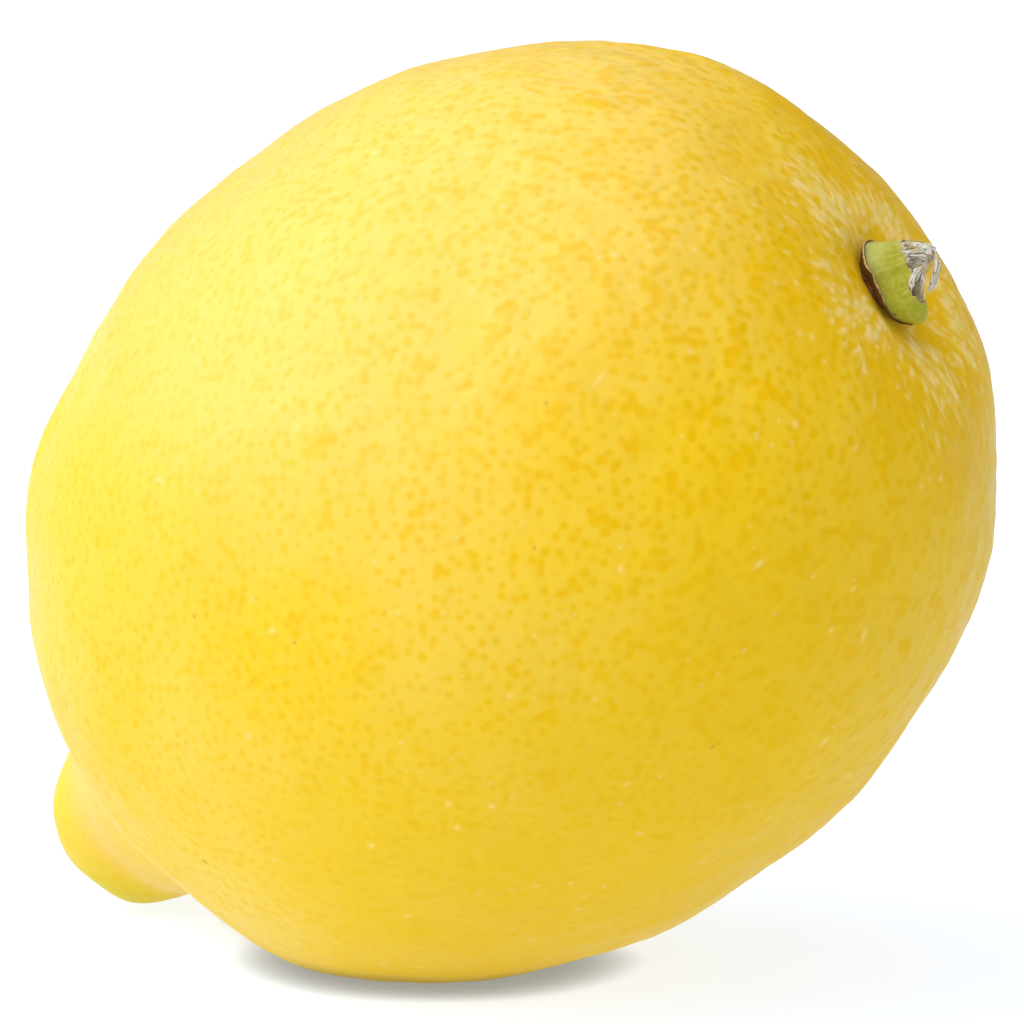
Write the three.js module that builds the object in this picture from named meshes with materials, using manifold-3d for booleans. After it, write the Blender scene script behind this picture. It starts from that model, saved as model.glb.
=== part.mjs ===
// A whole lemon, lying tilted on a small flat spot, with the calyx button of its cut stem.
//
// Units are millimetres and +Z is up. The origin is the middle of the flat spot.
// The lemon's own axis lies in the XZ plane: the stem end points along +X and up,
// and the nipple at the style end points along -X and down.
//
// In the lemon's own frame the axis is Z, with the stem end at +Z, X is its upper side
// and Y is its near side. Directions are given by two angles in degrees: "fromStem" is
// measured from the stem end, and "around" turns from the upper side to the near side.

import * as THREE from 'three';
import { mergeVertices } from 'three/addons/utils/BufferGeometryUtils.js';
import Module from 'manifold-3d';

// The body.
const GIRTH_RADIUS = 30;
const STEM_REACH = 34.2;
const STYLE_REACH = 34.6;
const FULLNESS = 2.1;
const GIRTH_OVAL = 0.028;
const GIRTH_OVAL_AROUND = 135;
const STEM_SIDE_SHIFT = -1.4;

// The nipple at the style end, which sits a little off the axis.
const NIPPLE = { fromStem: 171.7, around: 245, height: 11, spread: 10.9, steepness: 3.4 };

// The stem grew a little off the axis, in a wide, shallow bowl with a narrow pit for the button.
const STEM_SITE = { fromStem: 1.6, around: 220 };
const STEM_BOWL = { ...STEM_SITE, height: -1.8, spread: 15 };
const STEM_PIT = { ...STEM_SITE, height: -0.7, spread: 8 };

// Soft swellings and hollows of the body that break its roundness.
const SWELLINGS = [
  { fromStem: 34, around: -25, height: 0.6, spread: 11.5 },
  { fromStem: 23, around: 248, height: 0.3, spread: 9 },
  { fromStem: 52, around: -8, height: 0.45, spread: 17 },
  { fromStem: 136, around: 31, height: 0.45, spread: 10.5 },
  { fromStem: 144, around: 152, height: 0.5, spread: 10.5 },
  { fromStem: 60, around: 192, height: -0.2, spread: 17 },
  { fromStem: 36, around: 212, height: -0.15, spread: 11.5 },
];

// How it lies: the axis rises to the stem end, and the skin is pressed flat underneath.
const AXIS_TILT = 35;
const MIDDLE_ABOVE_FLAT = 31.3;
const MIDDLE_AHEAD_OF_FLAT = 5.4;
const MIDDLE_BEHIND_FLAT = 1.5;

// The calyx button and the stump of the stem on it.
const BUTTON_RADIUS = 2.7;
const BUTTON_EDGE_HEIGHT = 0.9;
const BUTTON_LIFT = 0.8;
const BUTTON_SAG = 0.4;
const BUTTON_UNDERSIDE = [
  { scale: 1.02, height: BUTTON_EDGE_HEIGHT / 2 },
  { scale: 0.9, height: 0 },
  { scale: 0.45, height: -0.7 * BUTTON_SAG },
];
const STUMP_RADIUS = 1.8;
const STUMP_HEIGHT = 3.2;
const STUMP_LEAN = 0.5;
const SEPALS = [
  { around: 8, reach: 0.8 },
  { around: 132, reach: 1.0 },
  { around: 205, reach: 0.6 },
  { around: 285, reach: 0.7 },
];
const SEPAL_SPREAD = 26;

// How finely the surfaces are divided.
const BODY_RINGS = 50;
const RING_CROWDING = 0.35;
const FEWEST_SEGMENTS = 6;
const BUTTON_SEGMENTS = 40;
const BUTTON_WALL_RINGS = 12;

const { degToRad, radToDeg } = THREE.MathUtils;

const skinMaterial = new THREE.MeshStandardMaterial({ color: 0xf3c93a, roughness: 0.42, metalness: 0 });
const buttonMaterial = new THREE.MeshStandardMaterial({ color: 0x9ba33c, roughness: 0.65, metalness: 0 });

function directionTo(fromStem, around) {
  const polar = degToRad(fromStem);
  const turn = degToRad(around);
  return new THREE.Vector3(
    Math.sin(polar) * Math.cos(turn),
    Math.sin(polar) * Math.sin(turn),
    Math.cos(polar),
  );
}

// The height of a round swelling, seen from the lemon's middle, in one direction.
function swellingHeight(swelling, direction) {
  const centre = directionTo(swelling.fromStem, swelling.around);
  const away = radToDeg(direction.angleTo(centre)) / swelling.spread;
  return swelling.height * Math.exp(-away * away);
}

// The nipple has steep sides and a blunt tip.
function nippleHeight(direction) {
  const centre = directionTo(NIPPLE.fromStem, NIPPLE.around);
  const away = radToDeg(direction.angleTo(centre)) / NIPPLE.spread;
  return NIPPLE.height / (1 + away ** NIPPLE.steepness);
}

// The plain body is a superellipse turned about the axis.
function bodyReach(direction) {
  const endReach = direction.z > 0 ? STEM_REACH : STYLE_REACH;
  const alongTerm = (Math.abs(direction.z) / endReach) ** FULLNESS;
  const acrossTerm = (Math.hypot(direction.x, direction.y) / GIRTH_RADIUS) ** FULLNESS;
  return (alongTerm + acrossTerm) ** (-1 / FULLNESS);
}

// A point of the skin, in the lemon's own frame.
function skinPoint(fromStem, around) {
  const direction = directionTo(fromStem, around);
  let reach = bodyReach(direction) + nippleHeight(direction);
  for (const swelling of [STEM_BOWL, STEM_PIT, ...SWELLINGS]) {
    reach += swellingHeight(swelling, direction);
  }
  const point = direction.multiplyScalar(reach);
  const oval = 1 + GIRTH_OVAL * Math.cos(2 * degToRad(around - GIRTH_OVAL_AROUND));
  point.x *= oval;
  point.y *= oval;
  if (point.z > 0) {
    point.x += STEM_SIDE_SHIFT * (point.z / STEM_REACH) ** 2;
  }
  return point;
}

// The turn and lift that take the lemon's own frame to the frame it lies in.
function lyingPlacement() {
  const tilt = degToRad(AXIS_TILT);
  const upperSide = new THREE.Vector3(-Math.sin(tilt), 0, Math.cos(tilt));
  const nearSide = new THREE.Vector3(0, -1, 0);
  const axis = new THREE.Vector3(Math.cos(tilt), 0, Math.sin(tilt));
  const placement = new THREE.Matrix4().makeBasis(upperSide, nearSide, axis);
  return placement.setPosition(MIDDLE_AHEAD_OF_FLAT, MIDDLE_BEHIND_FLAT, MIDDLE_ABOVE_FLAT);
}

// Fills the band between two rings of points, which may hold different numbers of them.
// A ring of no segments is a single point.
function stitchRings(first, next, faces) {
  const pointOf = (ring, step) => ring.start + (ring.segments > 0 ? step % ring.segments : 0);
  let firstStep = 0;
  let nextStep = 0;
  while (firstStep < first.segments || nextStep < next.segments) {
    const firstTurn = (firstStep + 1) / first.segments;
    const nextTurn = (nextStep + 1) / next.segments;
    const here = [pointOf(first, firstStep), pointOf(next, nextStep)];
    const nextIsDone = nextStep === next.segments;
    if (nextIsDone || (firstStep < first.segments && firstTurn <= nextTurn)) {
      firstStep += 1;
      faces.push(...here, pointOf(first, firstStep));
    } else {
      nextStep += 1;
      faces.push(...here, pointOf(next, nextStep));
    }
  }
}

// Makes a closed surface from rings, each given as a list of points from top to bottom.
function surfaceFromRings(rings) {
  const positions = [];
  const faces = [];
  let previous = null;
  for (const points of rings) {
    const ring = { start: positions.length / 3, segments: points.length > 1 ? points.length : 0 };
    for (const point of points) {
      positions.push(point.x, point.y, point.z);
    }
    if (previous) {
      stitchRings(previous, ring, faces);
    }
    previous = ring;
  }
  const geometry = new THREE.BufferGeometry();
  geometry.setAttribute('position', new THREE.Float32BufferAttribute(positions, 3));
  geometry.setIndex(faces);
  return geometry;
}

// The rings of the skin crowd towards both ends, where the shape is finest. Each ring has
// as many segments as make them about as long as the step to the next ring.
function skinRings(placement) {
  const rings = [];
  for (let ring = 0; ring <= BODY_RINGS; ring += 1) {
    const cycle = 2 * Math.PI * ring / BODY_RINGS;
    const fromStem = 180 / (2 * Math.PI) * (cycle - RING_CROWDING * Math.sin(cycle));
    const ringStep = Math.PI / BODY_RINGS * (1 - RING_CROWDING * Math.cos(cycle));
    const girth = 2 * Math.PI * Math.sin(degToRad(fromStem));
    const isEnd = ring === 0 || ring === BODY_RINGS;
    const segments = isEnd ? 1 : Math.max(FEWEST_SEGMENTS, Math.round(girth / ringStep));
    const points = [];
    for (let step = 0; step < segments; step += 1) {
      points.push(skinPoint(fromStem, 360 * step / segments).applyMatrix4(placement));
    }
    rings.push(points);
  }
  return rings;
}

function solidOf(geometry) {
  const plain = geometry.clone();
  plain.deleteAttribute('normal');
  plain.deleteAttribute('uv');
  const merged = mergeVertices(plain);
  return new wasm.Manifold(new wasm.Mesh({
    numProp: 3,
    vertProperties: new Float32Array(merged.attributes.position.array),
    triVerts: new Uint32Array(merged.index.array),
  }));
}

function geometryOf(solid) {
  const mesh = solid.getMesh();
  const geometry = new THREE.BufferGeometry();
  geometry.setAttribute('position', new THREE.BufferAttribute(mesh.vertProperties, 3));
  geometry.setIndex(new THREE.BufferAttribute(mesh.triVerts, 1));
  geometry.computeVertexNormals();
  return geometry;
}

// The whole fruit, with everything below the level of the flat spot taken off.
function makeFruit(placement) {
  const skin = surfaceFromRings(skinRings(placement));
  const side = 4 * GIRTH_RADIUS;
  const ground = new THREE.BoxGeometry(side, side, side);
  ground.translate(0, 0, -side / 2);
  const fruit = new THREE.Mesh(geometryOf(solidOf(skin).subtract(solidOf(ground))), skinMaterial);
  fruit.name = 'fruit';
  return fruit;
}

// The rim of the button reaches out into the sepals of the calyx.
function buttonRimRadius(around) {
  let radius = BUTTON_RADIUS;
  for (const sepal of SEPALS) {
    const away = THREE.MathUtils.euclideanModulo(around - sepal.around + 180, 360) - 180;
    radius += sepal.reach * Math.exp(-((away / SEPAL_SPREAD) ** 2));
  }
  return radius;
}

// One ring of the button's wall, from the stump's top (share 0) to the calyx's edge (share 1).
function buttonRing(share) {
  const height = STUMP_HEIGHT * (1 - share) + BUTTON_EDGE_HEIGHT * share;
  const flare = share ** 2;
  const points = [];
  for (let step = 0; step < BUTTON_SEGMENTS; step += 1) {
    const around = 360 * step / BUTTON_SEGMENTS;
    const radius = THREE.MathUtils.lerp(STUMP_RADIUS, buttonRimRadius(around), flare);
    const turn = degToRad(around);
    const lean = STUMP_LEAN * (1 - flare);
    points.push(new THREE.Vector3(radius * Math.cos(turn) - lean, radius * Math.sin(turn), height));
  }
  return points;
}

function scaledRing(points, scale, height) {
  return points.map((point) => new THREE.Vector3(point.x * scale, point.y * scale, height));
}

// The button stands on its own base: its axis is Z, and X and Y are the lemon's sides.
function makeStemButton() {
  const rings = [[new THREE.Vector3(-STUMP_LEAN, 0, STUMP_HEIGHT)]];
  for (let ring = 0; ring <= BUTTON_WALL_RINGS; ring += 1) {
    rings.push(buttonRing(ring / BUTTON_WALL_RINGS));
  }
  const rim = rings.at(-1);
  for (const { scale, height } of BUTTON_UNDERSIDE) {
    rings.push(scaledRing(rim, scale, height));
  }
  rings.push([new THREE.Vector3(0, 0, -BUTTON_SAG)]);
  const geometry = surfaceFromRings(rings);
  geometry.computeVertexNormals();
  const button = new THREE.Mesh(geometry, buttonMaterial);
  button.name = 'stem_button';
  return button;
}

const wasm = await Module();
wasm.setup();

const placement = lyingPlacement();

const lemon = new THREE.Group();
lemon.add(makeFruit(placement));

const stemEnd = new THREE.Group();
stemEnd.applyMatrix4(placement);
const stemButton = makeStemButton();
stemButton.position.copy(skinPoint(STEM_SITE.fromStem, STEM_SITE.around));
stemButton.position.z += BUTTON_LIFT;
stemEnd.add(stemButton);
lemon.add(stemEnd);

export default lemon;
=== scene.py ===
"""The looks of a whole lemon: its peel, its nipple, and the calyx button with the torn stem stump."""

import itertools
import math

import bmesh
import bpy
import numpy as np
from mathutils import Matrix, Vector
from mathutils.bvhtree import BVHTree


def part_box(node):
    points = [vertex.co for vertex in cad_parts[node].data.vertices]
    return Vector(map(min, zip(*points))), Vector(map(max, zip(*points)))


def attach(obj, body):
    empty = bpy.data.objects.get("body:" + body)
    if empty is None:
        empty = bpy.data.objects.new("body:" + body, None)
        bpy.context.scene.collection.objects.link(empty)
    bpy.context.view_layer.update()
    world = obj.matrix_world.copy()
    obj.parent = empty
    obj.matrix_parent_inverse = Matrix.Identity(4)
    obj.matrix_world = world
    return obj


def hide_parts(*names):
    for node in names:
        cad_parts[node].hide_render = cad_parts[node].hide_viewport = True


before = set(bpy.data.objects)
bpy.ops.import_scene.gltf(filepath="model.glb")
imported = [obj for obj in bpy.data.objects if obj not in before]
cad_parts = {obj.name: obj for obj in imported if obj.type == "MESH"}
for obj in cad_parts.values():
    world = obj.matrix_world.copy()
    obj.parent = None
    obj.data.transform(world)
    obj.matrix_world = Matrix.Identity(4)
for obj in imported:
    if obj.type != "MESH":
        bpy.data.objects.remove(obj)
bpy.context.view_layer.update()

MM = 0.001

# The camera, as the angles it looks from, its distance and its width of view at the lemon.
CAMERA_AZIMUTH = 26.5
CAMERA_ELEVATION = 10.0
CAMERA_DISTANCE = 660 * MM
VIEW_WIDTH = 69.5 * MM
FRAMING_RIGHT = 1.58 * MM
FRAMING_UP = -0.53 * MM

# The sky: how dim it is at its dimmest, the thin bright rim that it has down to the floor, and its lights. Each
# light has its azimuth from the camera's, its elevation, the cosines where its glow starts and is full, and how
# much it adds.
SKY_DIMMEST = 0.18
SKY_RIM = (0.020, 0.035)
SKY_RIM_GAIN = 0.84
SKY_LIGHTS = ((-98, 40, -0.10, 1.05, 0.80), (0, 50, 0.30, 1.00, 0.60), (-92, 50, 0.72, 0.97, 1.70))

# The floor: its half width in metres, its paper, its own glow, dimmed near the lemon as a painted contact shadow,
# as dim under the lemon and as bright in the open, how near to the lemon the painted shadow keeps, and between
# which places along the camera's right it fades out, since there is none under the nipple.
FLOOR_HALF_WIDTH = 30.0
FLOOR_COLOUR = (0.28, 0.33, 0.46, 1)
FLOOR_GLOW_COLOUR = (0.95, 0.97, 1, 1)
FLOOR_GLOW = (0.28, 0.81)
FLOOR_SHADE_REACH = 2.3 * MM
FLOOR_SHADE_END = (-15.5 * MM, -13.0 * MM)

# The frame of the lemon itself. Its axis lies in the XZ plane and rises to the stem end.
AXIS_TILT = 35.0
STEM_AXIS = Vector((math.cos(math.radians(AXIS_TILT)), 0, math.sin(math.radians(AXIS_TILT))))
UPPER_SIDE = Vector((-STEM_AXIS.z, 0, STEM_AXIS.x))
NEAR_SIDE = Vector((0, -1, 0))

FRUIT_LOW, FRUIT_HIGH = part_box("fruit")
BUTTON_LOW, BUTTON_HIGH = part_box("stem_button")
FRUIT_MIDDLE = (FRUIT_LOW + FRUIT_HIGH) / 2
BODY_MIDDLE = Vector((5.4, 1.5, 31.3)) * MM
FLOOR_LEVEL = FRUIT_LOW.z
BUTTON_HALF_HEIGHT = 1.18 * MM
BUTTON_BASE_SHIFT = 0.18 * MM
BUTTON_BASE = (BUTTON_LOW + BUTTON_HIGH) / 2 - STEM_AXIS * BUTTON_HALF_HEIGHT + UPPER_SIDE * BUTTON_BASE_SHIFT
NIPPLE_LEAN = math.radians(8.3)
NIPPLE_AROUND = math.radians(245)
NIPPLE_SWERVE = UPPER_SIDE * math.cos(NIPPLE_AROUND) + NEAR_SIDE * math.sin(NIPPLE_AROUND)
NIPPLE_AXIS = math.sin(NIPPLE_LEAN) * NIPPLE_SWERVE - STEM_AXIS * math.cos(NIPPLE_LEAN)


# --- small helpers for shader nodes ----------------------------------------------------------

def add_node(nodes, kind, **values):
    node = nodes.new(kind)
    for name, value in values.items():
        setattr(node, name, value)
    return node


def attribute(nodes, name):
    return add_node(nodes, "ShaderNodeAttribute", attribute_name=name).outputs["Fac"]


def noise(nodes, links, scale, detail=2.0, roughness=0.5):
    """A noise pattern fixed in the lemon's own space. Scale is in repeats per metre."""
    pattern = nodes.new("ShaderNodeTexNoise")
    pattern.inputs["Scale"].default_value = scale
    pattern.inputs["Detail"].default_value = detail
    pattern.inputs["Roughness"].default_value = roughness
    place = nodes.new("ShaderNodeTexCoord").outputs["Object"]
    links.new(place, pattern.inputs["Vector"])
    return pattern.outputs["Fac"]


def remap(nodes, links, value, low, high, to_low=0.0, to_high=1.0):
    node = nodes.new("ShaderNodeMapRange")
    node.interpolation_type = "SMOOTHSTEP"
    for name, number in (("From Min", low), ("From Max", high), ("To Min", to_low), ("To Max", to_high)):
        node.inputs[name].default_value = number
    links.new(value, node.inputs["Value"])
    return node.outputs["Result"]


def combine(nodes, links, operation, first, second):
    node = add_node(nodes, "ShaderNodeMath", operation=operation)
    for socket, value in zip(node.inputs, (first, second)):
        if isinstance(value, (int, float)):
            socket.default_value = value
        else:
            links.new(value, socket)
    return node.outputs["Value"]


def blend_colours(nodes, links, share, first, second):
    node = add_node(nodes, "ShaderNodeMix", data_type="RGBA")
    colour_inputs = [socket for socket in node.inputs if socket.type == "RGBA"]
    for socket, value in zip(colour_inputs, (first, second)):
        if isinstance(value, tuple):
            socket.default_value = (*value, 1)
        else:
            links.new(value, socket)
    if isinstance(share, (int, float)):
        node.inputs["Factor"].default_value = share
    else:
        links.new(share, node.inputs["Factor"])
    return next(output for output in node.outputs if output.type == "RGBA")


def layering(nodes, links):
    """The steps of a layered colour: a value's new range, a part of it, and one colour painted over another."""
    def ranged(value, low, high):
        return remap(nodes, links, value, 0, 1, low, high)

    def part(value, factor):
        return combine(nodes, links, "MULTIPLY", value, factor)

    def painted(under, share, over):
        return blend_colours(nodes, links, share, under, over)

    return ranged, part, painted


def roughened(nodes, links, shader, scale, distance, strength, detail=4):
    """Gives a surface a fine bump of its own."""
    bump = nodes.new("ShaderNodeBump")
    bump.inputs["Strength"].default_value = strength
    bump.inputs["Distance"].default_value = distance
    links.new(noise(nodes, links, scale, detail, 0.6), bump.inputs["Height"])
    links.new(bump.outputs["Normal"], shader.inputs["Normal"])


# --- camera, floor and light -----------------------------------------------------------------

def direction_from(azimuth, elevation):
    """The unit vector towards a viewer who stands at these angles, in degrees."""
    turn = math.radians(azimuth)
    rise = math.radians(elevation)
    return Vector((math.sin(turn) * math.cos(rise), -math.cos(turn) * math.cos(rise), math.sin(rise)))


BACK = direction_from(CAMERA_AZIMUTH, CAMERA_ELEVATION)
RIGHT = Vector((math.cos(math.radians(CAMERA_AZIMUTH)), math.sin(math.radians(CAMERA_AZIMUTH)), 0))
UP = BACK.cross(RIGHT)


def make_camera():
    target = FRUIT_MIDDLE + RIGHT * FRAMING_RIGHT + UP * FRAMING_UP
    data = bpy.data.cameras.new("camera")
    data.sensor_width = 36
    data.lens = data.sensor_width * CAMERA_DISTANCE / VIEW_WIDTH
    data.clip_start = 0.01
    camera = bpy.data.objects.new("camera", data)
    camera.location = target + BACK * CAMERA_DISTANCE
    camera.rotation_mode = "QUATERNION"
    camera.rotation_quaternion = (-BACK).to_track_quat("-Z", "Y")
    bpy.context.scene.collection.objects.link(camera)
    bpy.context.scene.camera = camera


def make_material(name):
    """A new material, as its node tree's nodes, links and Principled shader."""
    material = bpy.data.materials.new(name)
    material.use_nodes = True
    tree = material.node_tree
    return material, tree.nodes, tree.links, tree.nodes["Principled BSDF"]


def make_floor():
    mesh = bpy.data.meshes.new("floor")
    corners = [(x * FLOOR_HALF_WIDTH, y * FLOOR_HALF_WIDTH, FLOOR_LEVEL)
               for x, y in ((-1, -1), (1, -1), (1, 1), (-1, 1))]
    mesh.from_pydata(corners, [], [(0, 1, 2, 3)])
    floor = bpy.data.objects.new("floor", mesh)
    material, nodes, links, shader = make_material("floor_paper")
    shader.inputs["Base Color"].default_value = FLOOR_COLOUR
    shader.inputs["Roughness"].default_value = 0.9
    shader.inputs["Specular IOR Level"].default_value = 0.0
    shader.inputs["Emission Color"].default_value = FLOOR_GLOW_COLOUR
    # Painted contact shadow: the floor's glow is dimmed where the lemon is near.
    openness = nodes.new("ShaderNodeAmbientOcclusion")
    openness.samples = 16
    openness.inputs["Distance"].default_value = FLOOR_SHADE_REACH
    across = add_node(nodes, "ShaderNodeVectorMath", operation="DOT_PRODUCT")
    across.inputs[1].default_value = RIGHT
    links.new(nodes.new("ShaderNodeTexCoord").outputs["Object"], across.inputs[0])
    at_nipple = remap(nodes, links, across.outputs["Value"], *FLOOR_SHADE_END, 1, 0)
    openness = combine(nodes, links, "MAXIMUM", openness.outputs["AO"], at_nipple)
    links.new(remap(nodes, links, openness, 0, 1, *FLOOR_GLOW), shader.inputs["Emission Strength"])
    mesh.materials.append(material)
    bpy.context.scene.collection.objects.link(floor)


def make_sky():
    """A studio's light all round: brightest at the upper left, with a softbox in front, dim at the right."""
    world = bpy.data.worlds.new("studio")
    world.use_nodes = True
    nodes, links = world.node_tree.nodes, world.node_tree.links
    direction = nodes.new("ShaderNodeTexCoord").outputs["Generated"]
    height = add_node(nodes, "ShaderNodeVectorMath", operation="DOT_PRODUCT")
    height.inputs[1].default_value = (0, 0, 1)
    links.new(direction, height.inputs[0])
    rim = remap(nodes, links, height.outputs["Value"], *SKY_RIM, SKY_RIM_GAIN, 0)
    strength = combine(nodes, links, "ADD", rim, SKY_DIMMEST)
    for azimuth, elevation, edge, core, gain in SKY_LIGHTS:
        facing = add_node(nodes, "ShaderNodeVectorMath", operation="DOT_PRODUCT")
        facing.inputs[1].default_value = direction_from(CAMERA_AZIMUTH + azimuth, elevation)
        links.new(direction, facing.inputs[0])
        glow = remap(nodes, links, facing.outputs["Value"], edge, core, 0, gain)
        strength = combine(nodes, links, "ADD", glow, strength)
    links.new(strength, nodes["Background"].inputs["Strength"])
    nodes["Background"].inputs["Color"].default_value = (1, 1, 1, 1)
    bpy.context.scene.world = world


# --- the peel's cage -------------------------------------------------------------------------

CAGE_DIVISIONS = 38
CAGE_RELAXING_ROUNDS = 12
CAGE_RELAXING_STEPS = 10
CAGE_SWELLING_ROUNDS = 5
PEEL_SUBDIVISIONS = 3
MAP_MARGIN = 0.012


def vertex_values(mesh, name):
    values = np.empty(len(mesh.vertices) * 3)
    mesh.vertices.foreach_get(name, values)
    return values.reshape(-1, 3)


def cube_cage(divisions):
    """A cube of square faces, each a grid, with a texture map that lays its six sides side by side."""
    cage = bmesh.new()
    texture_map = cage.loops.layers.uv.new("OFBake")
    corner_of = {}
    steps = [math.tan(math.radians(90 * i / divisions - 45)) for i in range(divisions + 1)]
    sides = [(Vector(normal), Vector(across), Vector(normal).cross(Vector(across)))
             for normal, across in (((1, 0, 0), (0, 1, 0)), ((-1, 0, 0), (0, 0, 1)), ((0, 1, 0), (0, 0, 1)),
                                    ((0, -1, 0), (1, 0, 0)), ((0, 0, 1), (1, 0, 0)), ((0, 0, -1), (0, 1, 0)))]
    for side, (normal, across, along) in enumerate(sides):
        column, row = side % 3, side // 3
        for i, j in itertools.product(range(divisions), repeat=2):
            corners = []
            places = []
            for di, dj in ((0, 0), (1, 0), (1, 1), (0, 1)):
                point = (normal + across * steps[i + di] + along * steps[j + dj]).normalized()
                key = tuple(round(value, 6) for value in point)
                if key not in corner_of:
                    corner_of[key] = cage.verts.new(point)
                corners.append(corner_of[key])
                share = [MAP_MARGIN + (1 - 2 * MAP_MARGIN) * step / divisions for step in (i + di, j + dj)]
                places.append(((column + share[0]) / 3, (row + share[1]) / 2))
            face = cage.faces.new(corners)
            for loop, place in zip(face.loops, places):
                loop[texture_map].uv = place
    mesh = bpy.data.meshes.new("peel_cage")
    cage.to_mesh(mesh)
    cage.free()
    return mesh


class CageNeighbours:
    """The sums over each cage vertex's neighbours that smoothing and subdivision need."""

    def __init__(self, mesh):
        ends = np.empty(len(mesh.edges) * 2, int)
        mesh.edges.foreach_get("vertices", ends)
        corners = np.empty(len(mesh.polygons) * 4, int)
        mesh.polygons.foreach_get("vertices", corners)
        self.ends = ends.reshape(-1, 2)
        self.corners = corners.reshape(-1, 4)
        self.degree = np.bincount(ends, minlength=len(mesh.vertices))[:, None]

    def summed(self, values, pairs):
        total = np.zeros_like(values)
        for k in range(3):
            for start, end in pairs:
                total[:, k] += np.bincount(start, values[end, k], len(values))
        return total

    def along_edges(self, values):
        first, second = self.ends.T
        return self.summed(values, ((first, second), (second, first)))

    def across_faces(self, values):
        corners = self.corners.T
        return self.summed(values, [(corners[i], corners[(i + 2) % 4]) for i in range(4)])

    def limit(self, values):
        """Where the smooth subdivision surface passes, for each vertex."""
        n = self.degree
        return (n * n * values + 4 * self.along_edges(values) + self.across_faces(values)) / (n * (n + 5))


def nearest_on(surface, points):
    return np.array([surface.find_nearest(Vector(point))[0] for point in points])


def fit_cage(mesh, surface):
    """Throws the cage onto the surface, evens out its faces, and swells it so that its smooth
    subdivision surface, which runs inside it, lies on the surface."""
    neighbours = CageNeighbours(mesh)
    directions = vertex_values(mesh, "co")
    points = np.array([surface.ray_cast(BODY_MIDDLE, Vector(direction))[0] for direction in directions])
    for _round in range(CAGE_RELAXING_ROUNDS):
        for _step in range(CAGE_RELAXING_STEPS):
            points = 0.5 * points + 0.5 * neighbours.along_edges(points) / neighbours.degree
        points = nearest_on(surface, points)
    for _round in range(CAGE_SWELLING_ROUNDS):
        limit = neighbours.limit(points)
        points += nearest_on(surface, limit) - limit
    mesh.vertices.foreach_set("co", points.ravel())
    mesh.update()


def subdivided(mesh, levels):
    """The mesh as its smooth subdivision surface."""
    holder = bpy.data.objects.new("holder", mesh)
    bpy.context.scene.collection.objects.link(holder)
    modifier = holder.modifiers.new("subdivision", "SUBSURF")
    modifier.levels = modifier.render_levels = levels
    depsgraph = bpy.context.evaluated_depsgraph_get()
    smooth = bpy.data.meshes.new_from_object(holder.evaluated_get(depsgraph))
    bpy.data.objects.remove(holder)
    bpy.data.meshes.remove(mesh)
    return smooth


# --- the peel's relief -----------------------------------------------------------------------

SPOT_CELL = 0.5 * MM
GLAND_SPACING = 0.70 * MM
GLAND_TRIES = 120000
GLAND_RADIUS = (0.27 * MM, 0.38 * MM)
GLAND_DEPTH = 0.020 * MM

# How many of each there are, and the radii of the pimples and specks in millimetres. The scattered pale specks are
# painted glints, and each scar adds a cluster of pale scratch specks.
DENT_COUNT = 260
RIDGE_COUNT = 540
PIMPLE_COUNT = 200
SPECK_COUNT = 330
SCAR_COUNT = 12
BROWN_SPECK_COUNT = 26
PIMPLE_RADIUS = (0.14, 0.26)
SPECK_RADIUS = (0.09, 0.17)
BROWN_SPECK_RADIUS = (0.10, 0.20)

# The nipple: its foot's distance from its axis, and the sideways direction its flattened sides face.
NIPPLE_FOOT = 6.6 * MM
NIPPLE_SLANT = 1.2
NIPPLE_SIDE = (RIGHT - NIPPLE_AXIS * RIGHT.dot(NIPPLE_AXIS)
               - UP * NIPPLE_SLANT + NIPPLE_AXIS * NIPPLE_SLANT * UP.dot(NIPPLE_AXIS)).normalized()
NIPPLE_SHIFT = -0.6 * MM

# The nipple's rings and bands, each as its rise in millimetres, where it lies and its half width: the collar, the
# sunken tip, the groove at its foot, the bulge and the valley on its near side, and the two drawn-in sides.
NIPPLE_BODY_RISE = 0.45
NIPPLE_COLLAR = (0.20, 3.6 * MM, 1.2 * MM)
NIPPLE_HOLLOW = (-1.15, 0, 2.2 * MM)
NIPPLE_GROOVE = (-0.16, 1.15 * NIPPLE_FOOT, 0.5 * MM)
NIPPLE_BULGE = (0.35, 6.0 * MM, 1.1 * MM)
NIPPLE_VALLEY = (-0.55, 9.0 * MM, 1.9 * MM)
NIPPLE_LOWER_SIDE = (-0.45, 2.3 * MM, 2.1 * MM)
NIPPLE_UPPER_SIDE = (-0.35, -6.6 * MM, 2.0 * MM)
NIPPLE_REACH = 8 * MM

# The painted reflection, a pale band in the crease round the nipple, how far from the body's middle it fades out,
# and the green tip.
NIPPLE_CREASE = (1, 7.3 * MM, 1.6 * MM)
BELOW_TIP = (-41 * MM, -38.5 * MM)
TIP = (39.5 * MM, 44.5 * MM)

# How near to the stem each region begins and is full, and for the side with the painted sheen and the side with
# the painted shade the cosines of the angle to the middle of the region where it begins and is full.
STEM_HALF = (62 * MM, 18 * MM)
GOLDEN_END = (20 * MM, 8 * MM)
NEAR_STEM = (19 * MM, 4 * MM)
RIDGED = (12 * MM, 5 * MM)
AT_STEM = (6.5 * MM, 2.6 * MM)
RIDGE_START = 3.2 * MM
BLOOM = (0.45, 0.93)
DEEP = (0.30, 0.85)
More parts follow.
